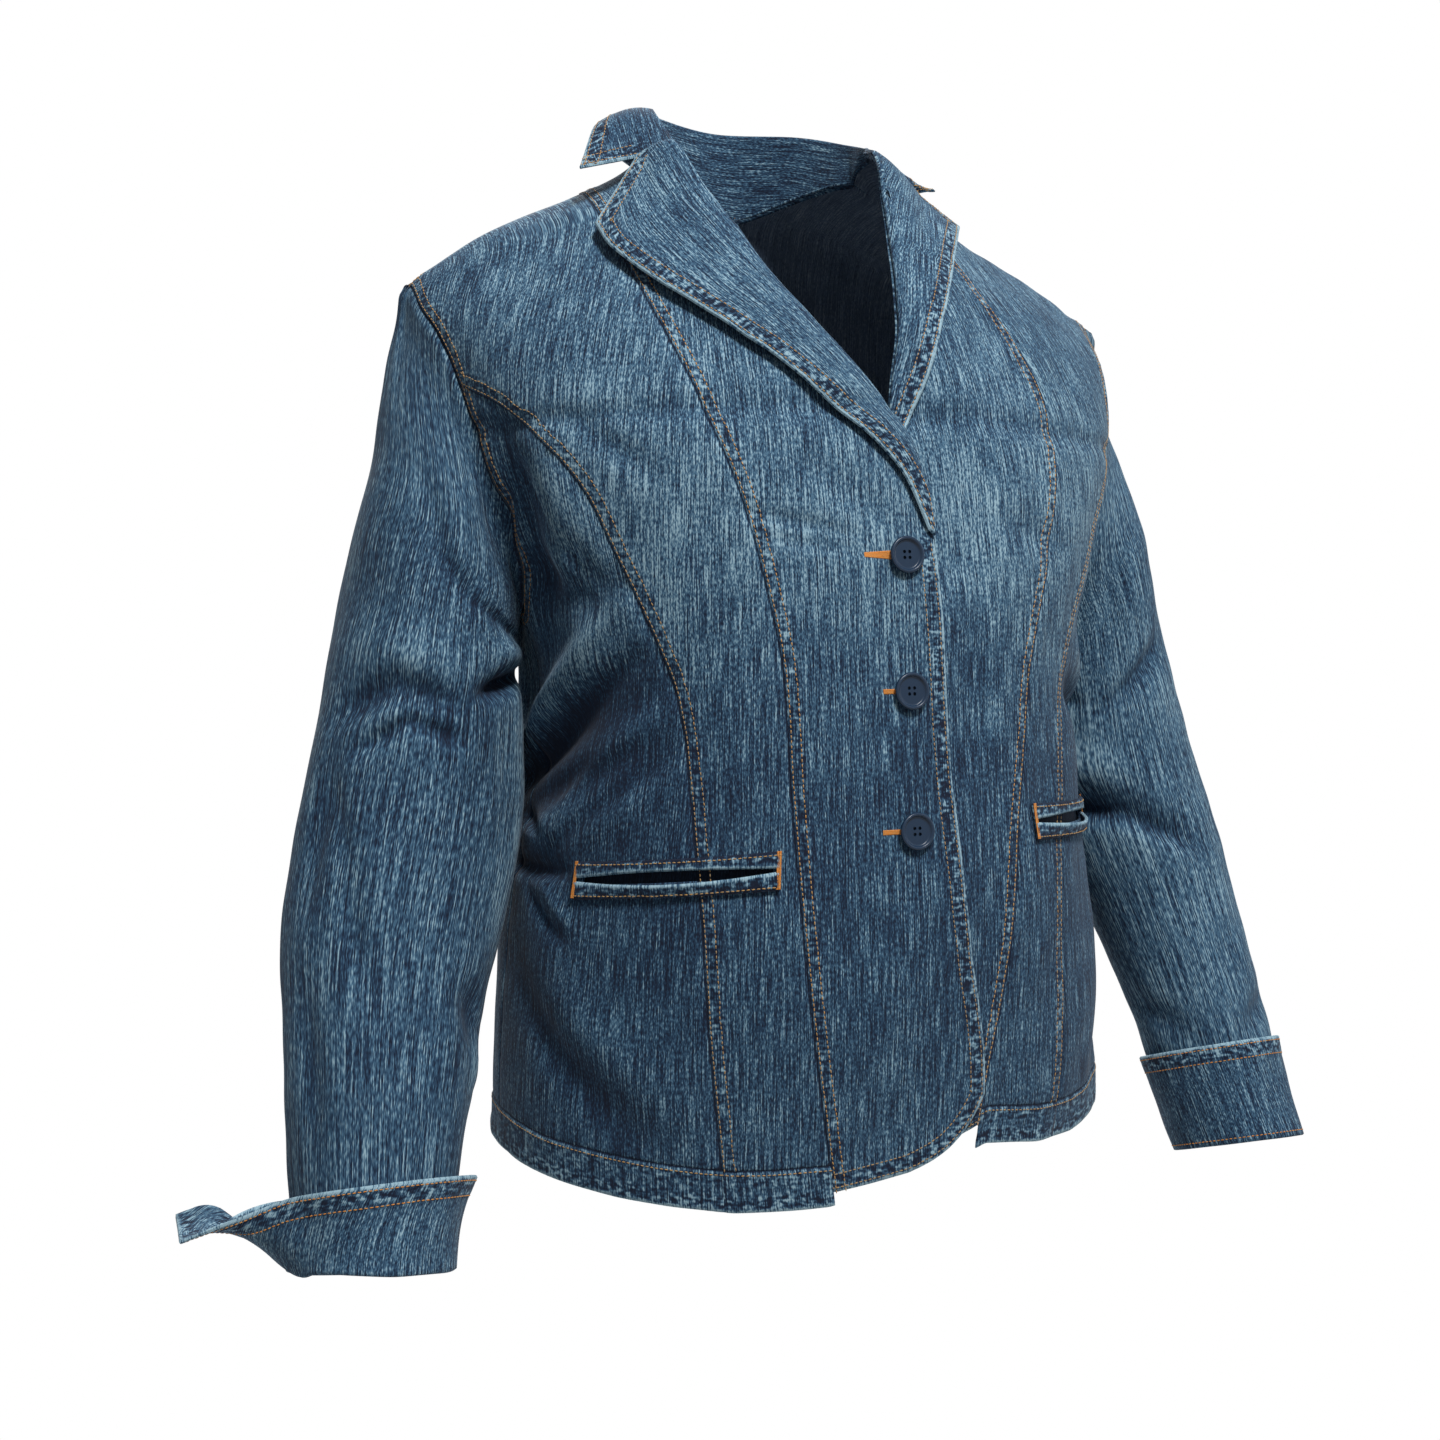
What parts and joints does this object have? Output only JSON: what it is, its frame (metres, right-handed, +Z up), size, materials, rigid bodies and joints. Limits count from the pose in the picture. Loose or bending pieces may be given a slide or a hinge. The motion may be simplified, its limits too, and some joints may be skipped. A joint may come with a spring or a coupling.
{
  "type": "denim blazer",
  "caption": "Fitted denim blazer as worn: notched lapels, princess seams, welt pockets, buttoned front with curved edges, banded hem and turned-back cuffs.",
  "frame": {"origin": "between the shoulder seams, in the middle of the wearer, level with the middle of the shoulders, where they carry the blazer", "axes": "+Z up, front of the blazer towards -Y, +X towards the wearer's left"},
  "size_m": [0.7482, 0.306, 0.7227],
  "materials": {
    "denim": "washed blue denim with slub streaks, pale worn edges and tan and orange topstitching",
    "denim_dark": "dark unwashed denim in the pocket bags",
    "navy_plastic": "softly glossy navy blue"
  },
  "bodies": {
    "root": {"back_L": "denim", "back_R": "denim", "button_cuff_L": "navy_plastic", "button_cuff_R": "navy_plastic", "button_front_1": "navy_plastic", "button_front_2": "navy_plastic", "button_front_3": "navy_plastic", "collar": "denim", "cuff_L": "denim", "cuff_R": "denim", "front_centre_L": "denim", "front_centre_R": "denim", "front_middle_L": "denim", "front_middle_R": "denim", "front_side_L": "denim", "front_side_R": "denim", "hem_band_back_L": "denim", "hem_band_back_R": "denim", "hem_band_middle_L": "denim", "hem_band_middle_R": "denim", "hem_band_side_L": "denim", "hem_band_side_R": "denim", "lapel_L": "denim", "lapel_R": "denim", "pocket_bag_L": "denim_dark", "pocket_bag_R": "denim_dark", "pocket_welt_lower_L": "denim", "pocket_welt_lower_R": "denim", "pocket_welt_upper_L": "denim", "pocket_welt_upper_R": "denim", "sleeve_top_L": "denim", "sleeve_top_R": "denim", "sleeve_under_L": "denim", "sleeve_under_R": "denim"}
  },
  "joints": []
}
